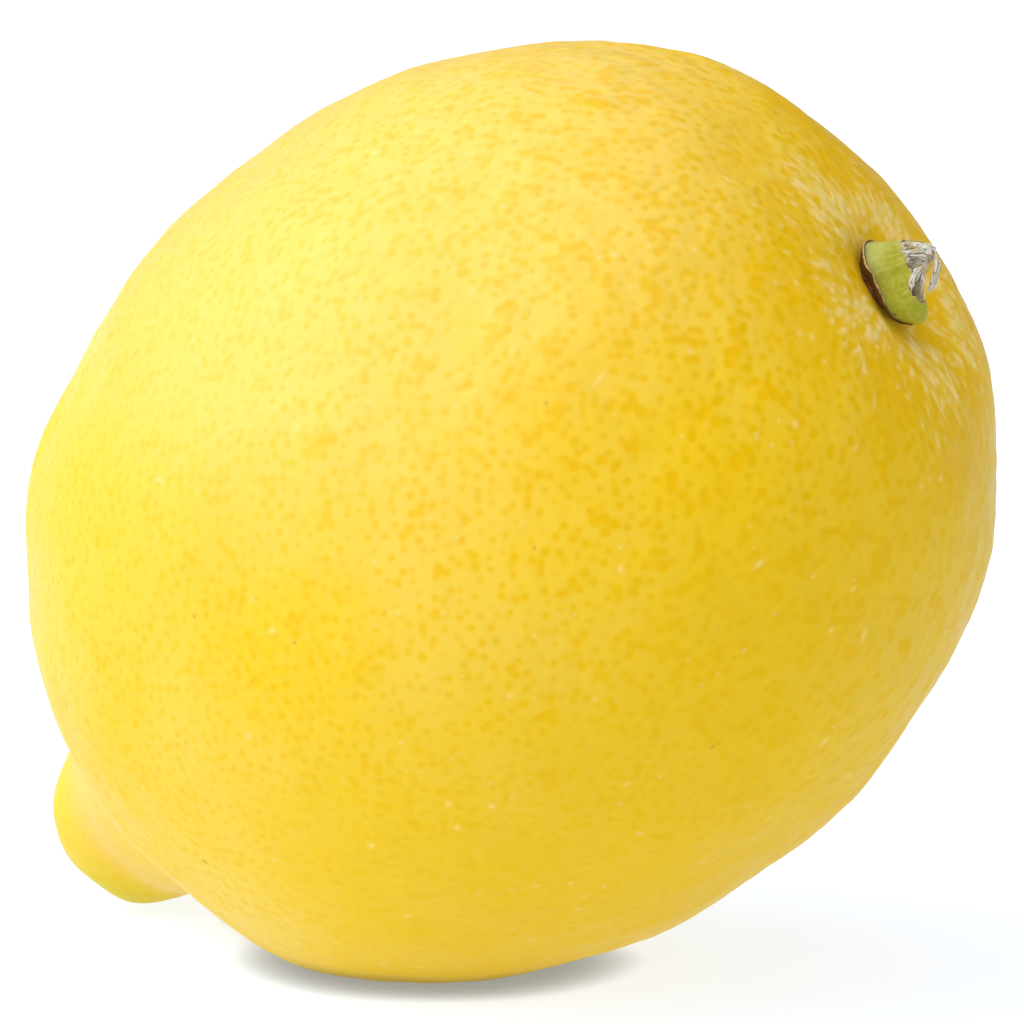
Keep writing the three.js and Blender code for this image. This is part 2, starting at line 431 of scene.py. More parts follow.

# Where the coloured regions are, and their half widths. The last two are the ways that the side with the painted
# sheen and the side with the painted shade face.
CHEEK_WIDTH = 15 * MM
SHOULDER_WIDTH = 6.5 * MM
PALE_PATCH_WIDTH = 5.5 * MM
SCAR_WIDTH = 1.4 * MM
SCAR_SPECKS = 6
GOLDEN_CHEEK = BODY_MIDDLE + direction_from(CAMERA_AZIMUTH + 24, 12) * 31 * MM
GOLDEN_SHOULDER = BODY_MIDDLE + RIGHT * 20.5 * MM + UP * 24 * MM + BACK * 5 * MM
PALE_PATCH = BODY_MIDDLE + RIGHT * 20 * MM + UP * 14.5 * MM + BACK * 17 * MM
BLOOM_WAY = direction_from(CAMERA_AZIMUTH - 35, 52)
DEEP_WAY = direction_from(CAMERA_AZIMUTH + 54, -44)

# The seeds of the peel's random details, of its swells and of its lumps, and the wavelengths of the random fields.
PEEL_SEED = 7
SWELL_SEED = 8
LUMP_SEED = 9
SWELL_WAVES = (11 * MM, 20 * MM)
LUMP_WAVES = (4 * MM, 8 * MM)
RIPPLE_WAVES = (1.6 * MM, 3.6 * MM)
GRAIN_WAVES = (0.7 * MM, 1.5 * MM)
NIPPLE_WAVES = (4 * MM, 7 * MM)

# How far the parts of the relief rise, in millimetres. Of two numbers the first holds all over the peel, and the
# second comes with nearness to the stem.
SWELL_RISE = 0.10
LUMP_RISE = 0.030
RIPPLE_RISE = (0.005, 0.012)
GRAIN_RISE = (0.002, 0.003)
RIDGE_RISE = 0.035
PIMPLE_RISE = 0.035
DENT_RISE = -0.070
NIPPLE_LUMP_RISE = 0.07

# The half lengths and half widths of the strokes, and how far they swing off the way to the stem.
DENT_LENGTH = (0.35 * MM, 1.1 * MM)
DENT_WIDTH = (0.22 * MM, 0.42 * MM)
DENT_SWING = 0.5
RIDGE_LENGTH = (0.20 * MM, 0.65 * MM)
RIDGE_WIDTH = (0.11 * MM, 0.22 * MM)
RIDGE_SWING = 0.30

# Broad low swells and hollows round the lemon: the angle round it as the camera sees it, and the rise.
SWELLS = ((-5, 0.36), (10, -0.18), (46, 0.38), (56, -0.22), (80, 0.22), (98, -0.22), (130, -0.26),
          (162, -0.34), (176, 0.08), (199, 0.14), (232, -0.34), (250, 0.24), (276, -0.24), (314, -0.06))
SWELL_REACH = 33 * MM
SWELL_WIDTH = 5.5 * MM
SWELL_DEPTH = 16 * MM


def smooth_step(values, low, high):
    share = np.clip((values - low) / (high - low), 0, 1)
    return share * share * (3 - 2 * share)


def ring(distance, middle, width):
    """A soft band round a line or a point: 1 in its middle and 0 far from it."""
    return np.exp(-((distance - middle) / width) ** 2)


def nearer(distance, reach):
    """1 nearer than the reach's second distance and 0 beyond its first."""
    return smooth_step(-distance, -reach[0], -reach[1])


def band(distance, rise, middle, width, share=1):
    return share * rise * ring(distance, middle, width)


def random_waves(points, wavelengths, count, rng):
    """A smooth random field of about unit spread, made of plane waves of these wavelengths."""
    total = np.zeros(len(points))
    for _wave in range(count):
        direction = rng.normal(size=3)
        direction *= 2 * math.pi / (np.linalg.norm(direction) * rng.uniform(*wavelengths))
        total += np.cos(points @ direction + rng.uniform(0, 2 * math.pi))
    return total * math.sqrt(2 / count)


def scatter(points, spacing, tries, rng):
    """Random choices among the points, none nearer to another than the spacing."""
    chosen = []
    cells = {}
    for index in rng.permutation(len(points))[:tries]:
        point = points[index]
        home = tuple((point // spacing).astype(int))
        around = [other for step in itertools.product((-1, 0, 1), repeat=3)
                  for other in cells.get((home[0] + step[0], home[1] + step[1], home[2] + step[2]), ())]
        if not around or np.sum((np.array(around) - point) ** 2, axis=1).min() > spacing ** 2:
            cells.setdefault(home, []).append(point)
            chosen.append(index)
    return np.array(chosen)


def spots(points, centres, radii, weights):
    """A field of round soft spots. A cell of the grid holds one centre, so close pairs lose one."""
    low = points.min(axis=0) - 3 * SPOT_CELL
    shape = ((points.max(axis=0) - low) // SPOT_CELL).astype(int) + 4
    strides = np.array((shape[1] * shape[2], shape[2], 1))
    holder = np.full(shape.prod(), -1)
    holder[((centres - low) // SPOT_CELL).astype(int) @ strides] = np.arange(len(centres))
    home = ((points - low) // SPOT_CELL).astype(int) @ strides
    total = np.zeros(len(points))
    for step in itertools.product(range(-2, 3), repeat=3):
        if sum(max(abs(part) - 1, 0) for part in step) > 2:
            continue
        owner = holder[home + np.array(step) @ strides]
        found = np.flatnonzero(owner >= 0)
        owner = owner[found]
        away = np.sum((points[found] - centres[owner]) ** 2, axis=1)
        total[found] += weights[owner] * np.exp(-away / radii[owner] ** 2)
    return total


def strokes(points, normals, places, rng, half_length, half_width, swing):
    """A field of short soft strokes that point at the stem, give or take the swing, each bent a little."""
    order = np.argsort(points[:, 0])
    sorted_x = points[order, 0]
    total = np.zeros(len(points))
    for place in places:
        here, outward = points[place], normals[place]
        length, width = rng.uniform(*half_length), rng.uniform(*half_width)
        angle, bend = rng.normal(0, swing), rng.normal(0, 0.25)
        start, end = np.searchsorted(sorted_x, (here[0] - 2.2 * length, here[0] + 2.2 * length))
        near = order[start:end]
        near = near[np.abs(points[near] - here).max(axis=1) < 2.2 * length]
        towards_stem = np.array(BUTTON_BASE) - here
        towards_stem -= outward * (towards_stem @ outward)
        towards_stem /= np.linalg.norm(towards_stem)
        sideways = np.cross(outward, towards_stem)
        offset = points[near] - here
        along = offset @ (towards_stem * math.cos(angle) + sideways * math.sin(angle)) / length
        across = offset @ (sideways * math.cos(angle) - towards_stem * math.sin(angle)) / width
        total[near] += rng.uniform(0.4, 1.0) * np.exp(-along ** 2 - (across - bend * along ** 2) ** 2)
    return total


def choose(chance, count, rng):
    return rng.choice(len(chance), count, replace=False, p=chance / chance.sum())


def store(mesh, **fields):
    for name, values in fields.items():
        data = mesh.attributes.new(name, "FLOAT", "POINT").data
        data.foreach_set("value", np.clip(values, 0, 1).astype(np.float32))


def outline_swells(points):
    """The broad swells and hollows that make the lemon's outline its own."""
    from_middle = points - np.array(BODY_MIDDLE)
    across, rising, depth = (from_middle @ np.array(way) for way in (RIGHT, UP, BACK))
    total = np.zeros(len(points))
    for angle, rise in SWELLS:
        turn = math.radians(angle)
        away = np.hypot(across - SWELL_REACH * math.cos(turn), rising - SWELL_REACH * math.sin(turn))
        total += rise * ring(away, 0, SWELL_WIDTH) * ring(depth, 0, SWELL_DEPTH)
    return total


def detail_peel(mesh):
    """Moves the points of the peel by its fine relief, and stores what its colours need."""
    rng = np.random.default_rng(PEEL_SEED)
    points, normals = vertex_values(mesh, "co"), vertex_values(mesh, "normal")
    stem_distance = np.linalg.norm(points - np.array(BUTTON_BASE), axis=1)
    from_middle = points - np.array(BODY_MIDDLE)
    nipple_height = from_middle @ np.array(NIPPLE_AXIS)
    nipple_side = from_middle @ np.array(NIPPLE_SIDE)
    from_axis = from_middle - np.outer(nipple_height, NIPPLE_AXIS) - np.array(NIPPLE_SIDE) * NIPPLE_SHIFT
    nipple_distance = np.linalg.norm(from_axis, axis=1)
    is_nipple_end = nipple_height > 0
    stem_half = nearer(stem_distance, STEM_HALF)
    cheek = ring(np.linalg.norm(points - np.array(GOLDEN_CHEEK), axis=1), 0, CHEEK_WIDTH)
    near_stem = nearer(stem_distance, NEAR_STEM)
    golden_end = nearer(stem_distance, GOLDEN_END)
    at_stem = nearer(stem_distance, AT_STEM)
    middle_distance = np.linalg.norm(from_middle, axis=1)
    # The upper left side, where a pale sheen is painted into the colour and the coat is thicker.
    bloom = smooth_step(from_middle @ np.array(BLOOM_WAY) / middle_distance, *BLOOM)
    # The lower right side, which is painted a darker gold as shade.
    deep = smooth_step(from_middle @ np.array(DEEP_WAY) / middle_distance, *DEEP)

    glands = scatter(points, GLAND_SPACING, GLAND_TRIES, rng)
    swollen = rng.normal(0.35, 0.2, len(glands)) + 0.35 * stem_half[glands]
    radii = GLAND_RADIUS[0] + (GLAND_RADIUS[1] - GLAND_RADIUS[0]) * np.clip(swollen, 0, 1)
    weights = rng.uniform(0.6, 1.0, len(glands))
    centres = points[glands] + rng.normal(0, 0.1 * MM, (len(glands), 3))
    gland = spots(points, centres, radii, weights)

    swell = random_waves(points, SWELL_WAVES, 40, np.random.default_rng(SWELL_SEED))
    lumps = random_waves(points, LUMP_WAVES, 60, np.random.default_rng(LUMP_SEED))
    ripples = random_waves(points, RIPPLE_WAVES, 110, rng)
    grain = random_waves(points, GRAIN_WAVES, 110, rng)
    dents = strokes(points, normals, choose(0.12 + stem_half ** 2, DENT_COUNT, rng), rng,
                    DENT_LENGTH, DENT_WIDTH, DENT_SWING)
    ridge_chance = nearer(stem_distance, RIDGED) * (stem_distance > RIDGE_START)
    ridge_chance = ridge_chance * (0.12 + smooth_step(lumps, -0.5, 0.7)) + 0.0006
    ridges = strokes(points, normals, choose(ridge_chance, RIDGE_COUNT, rng), rng,
                     RIDGE_LENGTH, RIDGE_WIDTH, RIDGE_SWING)
    pimples = choose(0.05 + near_stem, PIMPLE_COUNT, rng)
    pimple = spots(points, points[pimples], rng.uniform(*PIMPLE_RADIUS, PIMPLE_COUNT) * MM, np.ones(PIMPLE_COUNT))

    nipple_lumps = random_waves(points, NIPPLE_WAVES, 30, rng)
    nipple = NIPPLE_BODY_RISE * nearer(nipple_distance, (1.15 * NIPPLE_FOOT, 0.85 * NIPPLE_FOOT))
    nipple += band(nipple_distance, *NIPPLE_COLLAR) + band(nipple_distance, *NIPPLE_HOLLOW)
    nipple += band(nipple_side, *NIPPLE_LOWER_SIDE) * nearer(nipple_distance, (7 * MM, 5 * MM))
    nipple += band(nipple_side, *NIPPLE_UPPER_SIDE) * (nipple_distance < NIPPLE_REACH)
    nipple += band(nipple_distance, *NIPPLE_GROOVE)
    nipple += NIPPLE_LUMP_RISE * nipple_lumps * nearer(nipple_distance, (NIPPLE_FOOT, 0))
    nearness = smooth_step(from_axis @ np.array(BACK) / nipple_distance, 0.1, 0.9)
    nipple += band(nipple_distance, *NIPPLE_BULGE, nearness)
    nipple += band(nipple_distance, *NIPPLE_VALLEY, nearness)

    relief = SWELL_RISE * swell + LUMP_RISE * lumps + (RIPPLE_RISE[0] + RIPPLE_RISE[1] * stem_half) * ripples
    relief += outline_swells(points)
    relief += ((GRAIN_RISE[0] + GRAIN_RISE[1] * near_stem) * grain
               + RIDGE_RISE * ridges + PIMPLE_RISE * pimple + DENT_RISE * dents)
    pitting = 1 + stem_half ** 2 + 1.3 * near_stem
    relief = (relief + nipple * is_nipple_end) * MM - GLAND_DEPTH * pitting * gland
    points += normals * relief[:, None]
    points[:, 2] = np.maximum(points[:, 2], FLOOR_LEVEL)
    mesh.vertices.foreach_set("co", points.ravel())
    mesh.update()

    pale_patch = ring(np.linalg.norm(points - np.array(PALE_PATCH), axis=1), 0, PALE_PATCH_WIDTH)
    marks = gland * (1 + 0.08 * lumps + 0.5 * pale_patch) + (0.05 + 0.10 * stem_half) * ripples + 0.5 * dents
    shoulder = ring(np.linalg.norm(points - np.array(GOLDEN_SHOULDER), axis=1), 0, SHOULDER_WIDTH)
    lowland = smooth_step(0.6 * lumps + 0.4 * ripples, 0.75, -0.15)
    ochre = np.maximum(0.90 * golden_end * lowland * (1 - 0.8 * pale_patch), 0.85 * at_stem)
    ochre = np.maximum(ochre, 0.9 * smooth_step(shoulder + 0.12 * lumps + 0.10 * ripples, 0.35, 0.65))
    below_tip = smooth_step(-nipple_height, *BELOW_TIP)
    # Painted glints scattered over the peel, then clusters of pale scratch specks where it was scarred.
    specks = [choose(0.25 + stem_half, SPECK_COUNT, rng)]
    specks += [scar_cluster(points, place, rng) for place in rng.integers(len(points), size=SCAR_COUNT)]
    specks = np.concatenate(specks)
    brown_specks = rng.integers(len(points), size=BROWN_SPECK_COUNT)
    # raised is a painted highlight on the raised ridges and pimples near the stem.
    store(mesh, marks=marks, ochre=ochre, raised=0.95 * ridges + 0.6 * pimple, cheek=cheek, bloom=bloom,
          stem_half=stem_half, deep=deep,
          # A painted reflection: a pale band in the crease round the nipple.
          crease=band(nipple_distance, *NIPPLE_CREASE) * below_tip * is_nipple_end,
          tip=smooth_step(nipple_height + 0.25 * nipple_side + 0.4 * MM * lumps, *TIP),
          speck=spots(points, points[specks], rng.uniform(*SPECK_RADIUS, len(specks)) * MM,
                      rng.uniform(0.4, 1.1, len(specks))),
          brown_speck=spots(points, points[brown_specks], rng.uniform(*BROWN_SPECK_RADIUS, BROWN_SPECK_COUNT) * MM,
                            np.ones(BROWN_SPECK_COUNT)))


def scar_cluster(points, place, rng):
    """A few of the points close to one of them, where the peel was scratched."""
    close = np.flatnonzero(np.abs(points - points[place]).max(axis=1) < SCAR_WIDTH)
    return rng.choice(close, SCAR_SPECKS)


# --- the peel's material ---------------------------------------------------------------------

LEMON_YELLOW = (0.88, 0.575, 0.018)
PALE_YELLOW = (0.88, 0.61, 0.075)
# Painted sheen, laid on the upper left side of the peel.
BLOOM_YELLOW = (0.88, 0.62, 0.11)
CHEEK_GOLD = (0.89, 0.57, 0.010)
MARK_GOLD = (0.85, 0.505, 0.0004)
OCHRE_GOLD = (0.88, 0.51, 0.005)
# Painted shade, laid on the lower right side of the peel.
DEEP_GOLD = (0.72, 0.445, 0.004)
# Painted highlight on the raised ridges and pimples near the stem.
RIDGE_CREAM = (0.94, 0.69, 0.22)
# Painted reflection in the crease round the nipple.
CREASE_CREAM = (0.84, 0.59, 0.19)
TIP_GREEN = (0.66, 0.56, 0.045)
# The pale specks: painted glints, and scratch specks at the scars.
SPECK_WHITE = (0.88, 0.72, 0.40)
SPECK_BROWN = (0.30, 0.17, 0.03)

# The repeats per metre of the peel's noise patterns.
BROAD_SCALE = 55
MOTTLE_SCALE = 300
FINE_SCALE = 1500
BUMP_SCALE = 2400

# How much of its colour each layer lays over those below it.
FINE_SHARE = 0.40
DEEP_SHARE = 0.50
RAISED_SHARE = 0.95
CREASE_SHARE = 0.75
SPECK_SHARE = 0.40
BROWN_SPECK_SHARE = 0.5


def peel_material():
    material, nodes, links, shader = make_material("peel")
    broad = remap(nodes, links, noise(nodes, links, BROAD_SCALE, 3), 0.36, 0.66)
    mottle = remap(nodes, links, noise(nodes, links, MOTTLE_SCALE, 4, 0.6), 0.38, 0.64)
    fine = remap(nodes, links, noise(nodes, links, FINE_SCALE, 3, 0.6), 0.35, 0.7)
    stem_half, bloom = attribute(nodes, "stem_half"), attribute(nodes, "bloom")
    ranged, part, painted = layering(nodes, links)

    colour = painted(PALE_YELLOW, broad, LEMON_YELLOW)
    colour = painted(colour, part(fine, FINE_SHARE), PALE_YELLOW)
    # Painted sheen: the upper left side is painted paler.
    colour = painted(colour, part(bloom, ranged(mottle, 0.95, 0.70)), BLOOM_YELLOW)
    colour = painted(colour, part(attribute(nodes, "cheek"), ranged(mottle, 0.7, 1.0)), CHEEK_GOLD)
    colour = painted(colour, attribute(nodes, "ochre"), OCHRE_GOLD)
    marks = remap(nodes, links, attribute(nodes, "marks"), 0.08, 0.90)
    marks = part(marks, ranged(stem_half, 0.60, 1.0))
    colour = painted(colour, part(marks, ranged(bloom, 1.0, 0.75)), MARK_GOLD)
    # Painted shade: the lower right side is painted a darker gold.
    colour = painted(colour, part(attribute(nodes, "deep"), DEEP_SHARE), DEEP_GOLD)
    # Painted highlight: the raised ridges and pimples are painted pale cream.
    colour = painted(colour, part(attribute(nodes, "raised"), RAISED_SHARE), RIDGE_CREAM)
    colour = painted(colour, part(attribute(nodes, "tip"), ranged(mottle, 0.60, 0.90)), TIP_GREEN)
    # Painted reflection: the crease round the nipple is painted pale.
    colour = painted(colour, part(attribute(nodes, "crease"), CREASE_SHARE), CREASE_CREAM)
    # Painted glints, together with the pale scratch specks of the scars.
    colour = painted(colour, part(attribute(nodes, "speck"), SPECK_SHARE), SPECK_WHITE)
    colour = painted(colour, part(attribute(nodes, "brown_speck"), BROWN_SPECK_SHARE), SPECK_BROWN)
    links.new(colour, shader.inputs["Base Color"])

    links.new(ranged(mottle, 0.38, 0.48), shader.inputs["Roughness"])
    shader.inputs["Specular IOR Level"].default_value = 0.05
    links.new(ranged(bloom, 0.03, 0.50), shader.inputs["Coat Weight"])
    shader.inputs["Coat Roughness"].default_value = 0.3
    shader.inputs["Subsurface Weight"].default_value = 0.2
    shader.inputs["Subsurface Radius"].default_value = (1.0, 0.55, 0.12)
    shader.inputs["Subsurface Scale"].default_value = MM

    roughened(nodes, links, shader, BUMP_SCALE, 0.02 * MM, 0.35, 3)
    return material


def add_piece(name, mesh, material, node):
    """Puts a finished mesh in the scene, in place of its CAD node."""
    mesh.name = name
    mesh.materials.append(material)
    piece = bpy.data.objects.new(name, mesh)
    bpy.context.scene.collection.objects.link(piece)
    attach(piece, "root")
    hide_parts(node)


def make_peel():
    cad_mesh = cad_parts["fruit"].data
    cad_mesh.calc_loop_triangles()
    triangles = [tuple(triangle.vertices) for triangle in cad_mesh.loop_triangles]
    surface = BVHTree.FromPolygons([vertex.co for vertex in cad_mesh.vertices], triangles)
    cage = cube_cage(CAGE_DIVISIONS)
    fit_cage(cage, surface)
    mesh = subdivided(cage, PEEL_SUBDIVISIONS)
    detail_peel(mesh)
    mesh.shade_smooth()
    add_piece("peel", mesh, peel_material(), "fruit")


# --- the stem button -------------------------------------------------------------------------

# Its shapes are worked out in millimetres from the middle of its base: towards the lemon's upper
# side, its near side and its stem end. Angles turn from the upper side to the near side.
BUTTON_FRAME = np.array((UPPER_SIDE, NEAR_SIDE, STEM_AXIS))
BUTTON_LEAN = np.array((0.55, 0.68, -0.30))
BUTTON_STEPS = 180
WALL_RINGS = 40
TORN_RINGS = 30
CALYX_EDGE_THICKNESS = 0.22

# The lobed edge of the calyx, and the edge of the torn end of the stem above it, step by step. Then the middle and
# width, in degrees, of the lobe that bulges, and the point that the calyx's bumps point away from.
CALYX_EDGE = ((2.75, -0.35, 0.85), (2.35, 0.55, 0.80), (1.75, 1.15, 0.75), (1.15, 1.45, 0.70), (0.40, 1.40, 0.70),
              (-0.30, 1.55, 0.70), (-0.95, 1.75, 0.70), (-1.55, 1.80, 0.60), (-2.15, 1.65, 0.50),
              (-2.75, 1.25, 0.50), (-3.15, 0.65, 0.60), (-3.45, 0.0, 0.85), (-3.0, -0.8, 1.0), (-2.2, -1.6, 1.1),
              (-1.1, -2.0, 1.1), (0.0, -2.1, 1.1), (1.1, -1.9, 1.1), (2.45, -1.15, 1.15))
TORN_EDGE = ((1.50, -1.00, 2.90), (1.35, -0.60, 2.75), (0.95, -0.25, 2.85), (0.55, 0.0, 2.85), (0.0, 0.33, 2.80),
             (-0.75, 0.50, 2.85), (-1.35, 0.90, 2.50), (-1.85, 1.10, 2.40), (-2.20, 1.05, 2.40),
             (-2.60, 0.75, 2.40), (-2.85, 0.35, 2.40), (-2.65, -0.05, 2.45), (-2.15, -0.25, 2.55),
             (-1.45, -0.35, 2.80), (-0.95, -0.85, 3.10), (-0.60, -1.40, 3.65), (-0.05, -1.60, 4.20),
             (0.75, -1.40, 3.85))
LOBE_MIDDLE = 10.5 * 360 / len(CALYX_EDGE)
LOBE_WIDTH = 46
CALYX_HEART = (0, 0, 1.2)
DISC_RADII = (1.95, 1.85, 0)
DISC_MIDDLE = np.array((0.10, -0.55, 0.25))
TORN_OUTWARD = np.array((-0.40, 0.10, 0.91))

# How far its random waves rise, and their wavelengths.
EDGE_RISE, EDGE_WAVES = 0.035, (0.5, 1.6)
TORN_EDGE_RISE, TORN_EDGE_WAVES = 0.05, (0.25, 0.9)
CRUMPLE_RISE, CRUMPLE_WAVES = 0.10, (0.30, 0.9)
FIBRE_RISE, FIBRE_WAVES = 0.06, (0.12, 0.35)
CALYX_RISE, CALYX_WAVES = 0.05, (0.9, 2.2)
CALYX_PORE_RISE, CALYX_PORE_WAVES = 0.010, (0.15, 0.5)
DISC_RISE, DISC_WAVES = 0.05, (0.8, 2.0)
DISC_PORE_RISE, DISC_PORE_WAVES = 0.03, (0.2, 0.6)
STRAND_RISE, STRAND_WAVES = 0.04, (0.4, 1.2)

# The seeds of its random details, the steps round the disc and along the withered rim, and where the rim tapers.
CALYX_EDGE_SEED = 11
CALYX_SEED = 12
DISC_SEED = 12
RIM_SEED = 13
STRAND_SEED = 14
CRUMPLE_SEED = 21
FIBRE_SEED = 22
DISC_STEPS = 96
RIM_STEPS = (-4, 72)
RIM_START_TAPER = (-4, 4)
RIM_END_TAPER = (-71, -60)

# The strands at the torn end: the points they run past, how many, how far they stray and how thick they are.
STRANDS = (
    (((-0.56, -1.36, 3.5), (-0.72, -0.59, 3.2), (-0.96, 0.33, 2.95), (-1.47, 0.95, 2.65), (-2.08, 1.20, 2.50)),
     16, 0.09, (0.05, 0.10)),
    (((-0.62, -1.47, 3.4), (-1.23, -0.18, 3.1), (-1.73, 0.04, 2.8), (-2.23, 0.30, 2.65), (-2.80, 0.52, 2.48)),
     9, 0.06, (0.04, 0.08)),
    (((-0.32, -1.40, 4.3), (-1.22, -1.00, 3.9), (-2.03, -0.63, 3.1), (-2.35, -0.45, 2.6)),
     16, 0.14, (0.05, 0.10)),
    (((1.15, -0.90, 2.7), (0.75, -1.15, 3.3), (0.25, -1.35, 3.9), (-0.25, -1.40, 4.1), (-0.60, -1.15, 3.6)),
     40, 0.20, (0.05, 0.11)),
    (((0.70, -0.40, 2.7), (0.40, -0.75, 3.2), (0.05, -1.10, 3.6), (-0.35, -1.30, 3.8), (-0.75, -0.90, 3.3)),
     40, 0.20, (0.05, 0.11)),
)


def placed(points):
    """The button's own millimetres as points of the scene."""
    return np.array(BUTTON_BASE) + (np.asarray(points) + BUTTON_LEAN) @ BUTTON_FRAME * MM


def closed_skin(rings):
    """A closed mesh over rings of as many points each, from a single first point to a single last one."""
    faces = []
    starts = np.cumsum([0] + [len(points) for points in rings])
    for (start, points), (next_start, next_points) in itertools.pairwise(zip(starts, rings)):
        count = max(len(points), len(next_points))
        for step in range(count):
            corners = [start + step % len(points), start + (step + 1) % len(points),
                       next_start + (step + 1) % len(next_points), next_start + step % len(next_points)]
            faces.append(tuple(dict.fromkeys(corners)))
    return np.concatenate(rings), faces


def mesh_of(name, points, faces):
    """A mesh in the scene's own place, with its faces turned outwards and shaded smooth."""
    mesh = bpy.data.meshes.new(name)
    mesh.from_pydata(placed(points).tolist(), [], faces)
    shell = bmesh.new()
    shell.from_mesh(mesh)
    bmesh.ops.recalc_face_normals(shell, faces=shell.faces)
    shell.to_mesh(mesh)
    shell.free()
    mesh.shade_smooth()
    return mesh


def closed_curve(corners, count):
    """A smooth closed line past the corners, as this many points."""
    corners = np.array(corners)
    place = np.arange(count) * len(corners) / count
    first = place.astype(int)
    share = (place - first)[:, None]
    before, here, after, beyond = (corners[(first + step) % len(corners)] for step in (-1, 0, 1, 2))
    return 0.5 * (2 * here + (after - before) * share + (2 * before - 5 * here + 4 * after - beyond) * share ** 2
                  + (3 * here - before - 3 * after + beyond) * share ** 3)


def open_curve(corners, count):
    """A smooth line from the first corner to the last, as this many points."""
    corners = np.array(corners)
    share = np.linspace(0, len(corners) - 1, count * 4)
    line = np.stack([np.interp(share, np.arange(len(corners)), corners[:, k]) for k in range(3)], axis=1)
    for _round in range(count):
        line[1:-1] = 0.5 * line[1:-1] + 0.25 * (line[:-2] + line[2:])
    return line[np.linspace(0, len(line) - 1, count).astype(int)]


def calyx_edge():
    rng = np.random.default_rng(CALYX_EDGE_SEED)
    edge = closed_curve(CALYX_EDGE, BUTTON_STEPS)
    return edge + EDGE_RISE * random_waves(edge, EDGE_WAVES, 30, rng)[:, None] * (0.6, 0.6, 1.0)


def torn_end(edge):
    """The torn end of the stem as rings from its edge to its middle line, with the painted shade in its hollows.
    """
    mirror = edge[-np.arange(len(edge))]
    middle_line = (edge + mirror) / 2
    low_part = smooth_step(-middle_line[:, 0], 0.4, 1.2)
    rings, hollows = [], []
    for share in np.linspace(1, 0.02, TORN_RINGS):
        ring_points = edge * share + middle_line * (1 - share)
        crumple = random_waves(ring_points, CRUMPLE_WAVES, 40, np.random.default_rng(CRUMPLE_SEED))
        fibres = random_waves(ring_points * (1, 1, 0.3), FIBRE_WAVES, 60, np.random.default_rng(FIBRE_SEED))
        depth = 0.25 * math.sqrt(1 - share) + low_part * 0.95 * smooth_step(1 - share, 0.25, 0.9)
        height = (CRUMPLE_RISE * crumple + FIBRE_RISE * fibres) * smooth_step(1 - share, 0, 0.15) - depth
        rings.append(ring_points + np.outer(height, TORN_OUTWARD))
        # Painted shade: darker where the torn end sinks deep and in the hollows of its crumples.
        hollows.append(np.clip(smooth_step(depth, 0.35, 0.9) + 0.25 * smooth_step(-crumple, 0.3, 1.5), 0, 1))
    return rings, np.concatenate(hollows)


def make_calyx():
    """The green calyx, which rises from its lobed edge to the torn end of the stem."""
    rng = np.random.default_rng(CALYX_SEED)
    edge = calyx_edge()
    torn_edge = closed_curve(TORN_EDGE, BUTTON_STEPS)
    torn_edge += TORN_EDGE_RISE * random_waves(torn_edge, TORN_EDGE_WAVES, 40, rng)[:, None] * (0.5, 0.5, 1.0)
    around = np.arange(BUTTON_STEPS) * 360 / BUTTON_STEPS
    lobe = ring(around, LOBE_MIDDLE, LOBE_WIDTH)[:, None]
    middle = edge.mean(axis=0) * (1, 1, 0)
    rings = [middle[None]]
    for scale, height in ((0.5, 0.05), (0.85, 0.2)):
        rings.append(middle + (edge - middle) * (scale, scale, 0) + (0, 0, height))
    rings.append(edge - (0, 0, CALYX_EDGE_THICKNESS))
    rings.append(middle + (edge - middle) * (1.03, 1.03, 1) - (0, 0, 0.5 * CALYX_EDGE_THICKNESS))
    dryness = [np.zeros(sum(len(points) for points in rings))]
    underside = [np.ones(len(dryness[0]))]
    for step in range(WALL_RINGS):
        rise = step / WALL_RINGS
        spread = (1 - rise) ** (1.25 - 0.70 * lobe)
        wall = torn_edge * (1 - spread) + edge * spread
        wall[:, 2] = (torn_edge * rise + edge * (1 - rise))[:, 2]
        wall += (wall - middle - CALYX_HEART) * lobe * 0.20 * math.sin(math.pi * rise)
        rings.append(wall)
        dryness.append(smooth_step(wall[:, 2], 2.25, 3.1) * smooth_step(-wall[:, 1], -0.2, 0.5))
        # Painted shade: the wall is darkened towards its foot, and the underside under the edge is darkest.
        darkness = 1 - 0.65 * smooth_step(rise, 0, 0.07) - 0.35 * smooth_step(rise, 0, 0.45)
        underside.append(np.full(BUTTON_STEPS, darkness))
    wall_end = sum(len(points) for points in rings)
    torn_rings, hollow = torn_end(torn_edge)
    rings += torn_rings
    points, faces = closed_skin(rings)
    last = len(points) - BUTTON_STEPS
    faces += [(last + k, last + k + 1, len(points) - k - 1, last + (BUTTON_STEPS - k) % BUTTON_STEPS)
              for k in range(1, BUTTON_STEPS // 2 - 1)]
    faces += [(last, last + 1, len(points) - 1),
              tuple(last + BUTTON_STEPS // 2 + k for k in (-1, 0, 1))]
    is_wall = np.arange(len(points)) < wall_end
    outward = points - middle - CALYX_HEART
    outward /= np.linalg.norm(outward, axis=1)[:, None]
    lumps = CALYX_RISE * random_waves(points, CALYX_WAVES, 40, rng)
    lumps += CALYX_PORE_RISE * random_waves(points, CALYX_PORE_WAVES, 80, rng)
    points += outward * (lumps * is_wall * smooth_step(points[:, 2], 0.7, 1.1))[:, None]
    mesh = mesh_of("calyx", points, faces)
    beyond = np.zeros(len(points) - wall_end)
    store(mesh, torn=~is_wall, hollow=np.concatenate([np.zeros(wall_end), hollow]),
          dry=np.concatenate([*dryness, beyond]), underside=np.concatenate([*underside, beyond]),
          top_light=smooth_step(points[:, 0], -0.4, 2.5) * smooth_step(-points[:, 2], -2.6, -1.0))
    add_piece("calyx", mesh, calyx_material(), "stem_button")


